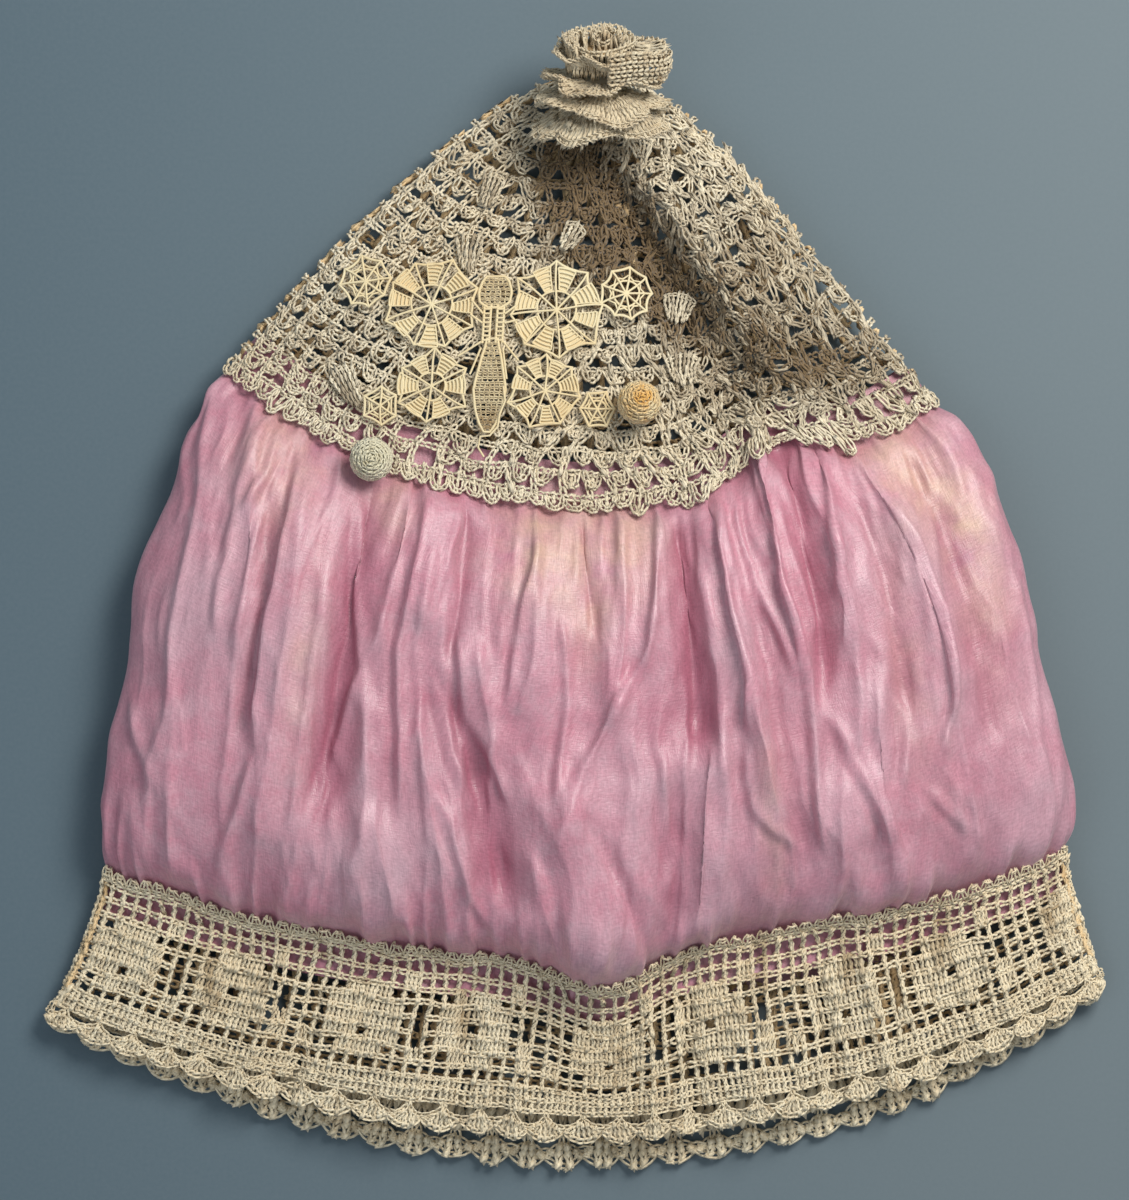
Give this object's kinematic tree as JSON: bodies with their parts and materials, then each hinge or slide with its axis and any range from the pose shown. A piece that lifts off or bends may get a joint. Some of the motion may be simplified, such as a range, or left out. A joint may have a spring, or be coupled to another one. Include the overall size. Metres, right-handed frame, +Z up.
{
  "type": "boudoir cap with a crochet lace crown",
  "caption": "Soft peaked cap lying flat: pierced crochet crown with a rose, butterfly and ball buttons, gathered silk puff and a filet lace brim with shell edging.",
  "frame": {"origin": "a point of the flat underside of the silk puff, on the ground, below the middle of the cap", "axes": "+Z up from the ground that the cap lies on, +Y along the cap towards its peak, +X to the right of one who looks down on its front with the peak up"},
  "size_m": [0.2945, 0.3115, 0.045],
  "materials": {
    "crown_cotton": "matt ecru crochet cotton",
    "brim_cotton": "matt ecru filet crochet cotton",
    "motif_thread": "slightly glossy yellowed needle lace thread",
    "rose_cotton": "matt ribbed crochet cotton",
    "button_cotton": "matt crochet cotton over a ball",
    "pink_silk": "thin glossy habotai silk with faded stains"
  },
  "bodies": {
    "root": {"crown_lace": "crown_cotton", "silk_puff": "pink_silk", "brim_lace": "brim_cotton", "brim_edging": "brim_cotton", "butterfly_body": "motif_thread", "wheel_upper_left": "motif_thread", "wheel_upper_right": "motif_thread", "wheel_lower_left": "motif_thread", "wheel_lower_right": "motif_thread", "wheel_upper_left_tip": "motif_thread", "wheel_upper_right_tip": "motif_thread", "wheel_lower_left_tip": "motif_thread", "wheel_lower_right_tip": "motif_thread", "ball_button_left": "button_cotton", "ball_button_right": "button_cotton", "rose_outer_round": "rose_cotton", "rose_lower_round": "rose_cotton", "rose_upper_round": "rose_cotton", "rose_inner_round": "rose_cotton", "rose_heart": "rose_cotton"}
  },
  "joints": []
}
